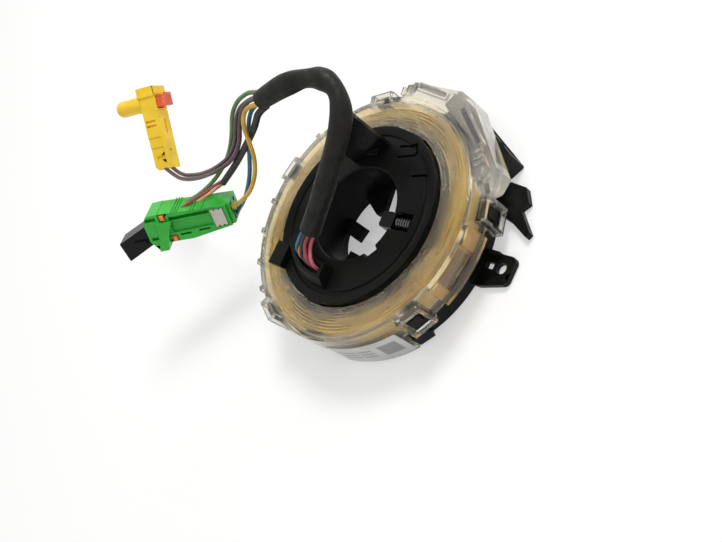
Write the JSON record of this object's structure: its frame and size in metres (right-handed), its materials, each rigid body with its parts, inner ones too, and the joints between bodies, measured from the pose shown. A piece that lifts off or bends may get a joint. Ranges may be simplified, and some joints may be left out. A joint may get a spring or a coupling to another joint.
{
  "type": "steering clock spring",
  "caption": "Steering clock spring: a clear round stator over a wound flat cable, a black rotor with a central bore, and a short harness with plugs.",
  "frame": {"origin": "on the steering axis, level with the back of the base, halfway between the two ear holes", "axes": "+Z along the steering axis towards the wheel; +Y towards the ear beside the arm"},
  "size_m": [0.1127, 0.2069, 0.0771],
  "materials": {
    "black_base": "satin",
    "clear_amber": "gloss",
    "label_white": "matte",
    "black_gloss": "gloss",
    "tin": "satin",
    "tape_amber": "gloss",
    "black_rotor": "satin",
    "steel": "satin",
    "sleeve_black": "matte",
    "wire_green": "satin",
    "wire_purple": "satin",
    "wire_ochre": "satin",
    "wire_blue": "satin",
    "tape_black": "matte",
    "wire_red": "satin",
    "wire_peach": "satin",
    "wire_pink": "satin",
    "wire_maroon": "satin",
    "wire_black": "satin",
    "wire_orange": "satin",
    "plug_yellow": "satin",
    "lock_red": "gloss",
    "plug_green": "satin",
    "cap_green": "satin",
    "panel_white": "satin",
    "lock_orange": "gloss"
  },
  "bodies": {
    "stator": {"stator_base": "black_base", "clear_cover": "clear_amber", "id_label": "label_white", "stator_connector": "black_gloss", "stator_pins": "tin", "flat_cable": "tape_amber", "outer_terminal": "black_gloss"},
    "rotor": {"rotor_top": "black_rotor", "rotor_ring": "black_rotor", "inner_terminal": "black_gloss", "cable_tower": "black_rotor", "guide_flap": "black_gloss", "lock_spring": "steel", "sleeve": "sleeve_black", "wire_green": "wire_green", "wire_purple_a": "wire_purple", "wire_purple_b": "wire_purple", "wire_ochre": "wire_ochre", "wire_blue": "wire_blue", "taped_bundle": "tape_black", "lead_red": "wire_red", "lead_peach": "wire_peach", "tower_lead_1": "wire_blue", "tower_lead_2": "wire_orange", "tower_lead_3": "wire_black", "tower_lead_4": "wire_maroon", "tower_lead_5": "wire_red", "tower_lead_6": "wire_pink", "yellow_housing": "plug_yellow", "yellow_contacts": "tin", "green_housing": "plug_green", "green_cap": "cap_green", "white_panel": "panel_white", "black_plug": "black_gloss"},
    "lock": {"lock_slider": "black_gloss"},
    "airbag_lock": {"yellow_lock": "lock_red"},
    "body_lock_a": {"orange_lock_a": "lock_orange"},
    "body_lock_b": {"orange_lock_b": "lock_orange"}
  },
  "joints": [
    {"name": "rotor_turn", "type": "hinge", "parent": "stator", "child": "rotor", "pos_m": [0, 0, 0.0254], "axis": [0, 0, 1], "range_deg": [-900, 900]},
    {"name": "lock_press", "type": "slide", "parent": "rotor", "child": "lock", "axis": [-0.0523, 0.9986, 0], "range_m": [0, 0.004], "stiffness_N_per_m": 300, "springref_m": -0.002, "deforming": ["lock_spring"]},
    {"name": "airbag_lock_press", "type": "slide", "parent": "rotor", "child": "airbag_lock", "axis": [0.4451, -0.8751, 0.19], "range_m": [0, 0.0022]},
    {"name": "body_lock_a_press", "type": "slide", "parent": "rotor", "child": "body_lock_a", "axis": [-0.6368, -0.6652, -0.3899], "range_m": [0, 0.0018]},
    {"name": "body_lock_b_press", "type": "slide", "parent": "rotor", "child": "body_lock_b", "axis": [-0.6368, -0.6652, -0.3899], "range_m": [0, 0.0018]}
  ]
}
